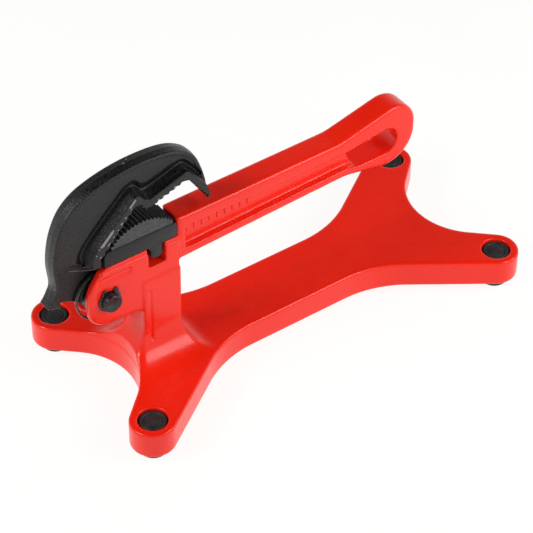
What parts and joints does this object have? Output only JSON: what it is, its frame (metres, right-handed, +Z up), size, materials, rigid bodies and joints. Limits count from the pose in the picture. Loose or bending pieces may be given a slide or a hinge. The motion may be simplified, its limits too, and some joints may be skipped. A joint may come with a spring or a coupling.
{
  "type": "pipe wrench on a stand",
  "caption": "One-hand pipe wrench with a spring-closed hook jaw, cast in one piece with a low X-shaped bench stand on rubber feet.",
  "frame": {"origin": "middle of the footprint at floor level: halfway in x between the hook jaw's back and the plate's right end, on the mid-plane in y", "axes": "+X from the jaw end to the handle's eye, +Y to the far side, +Z up"},
  "size_m": [0.511, 0.2268, 0.2809],
  "materials": {
    "red_enamel": "gloss",
    "forged_black": "satin",
    "hardened_black": "satin",
    "pin_black": "satin",
    "spring_steel": "gloss",
    "black_rubber": "satin"
  },
  "bodies": {
    "stand": {"frame_casting": "red_enamel", "heel_jaw": "hardened_black", "heel_jaw_pin": "pin_black", "pivot_pin": "pin_black", "circlip_near": "spring_steel", "circlip_far": "spring_steel", "foot_jaw_near": "black_rubber", "foot_jaw_far": "black_rubber", "foot_handle_near": "black_rubber", "foot_handle_far": "black_rubber"},
    "hook": {"hook_jaw": "forged_black", "torsion_spring": "spring_steel"}
  },
  "joints": [
    {"name": "hook_pivot", "type": "hinge", "parent": "stand", "child": "hook", "pos_m": [-0.1935, 0, 0.1383], "axis": [0, -1, 0], "range_deg": [0, 50], "stiffness_Nm_per_rad": 0.5, "springref_deg": -68.75}
  ]
}
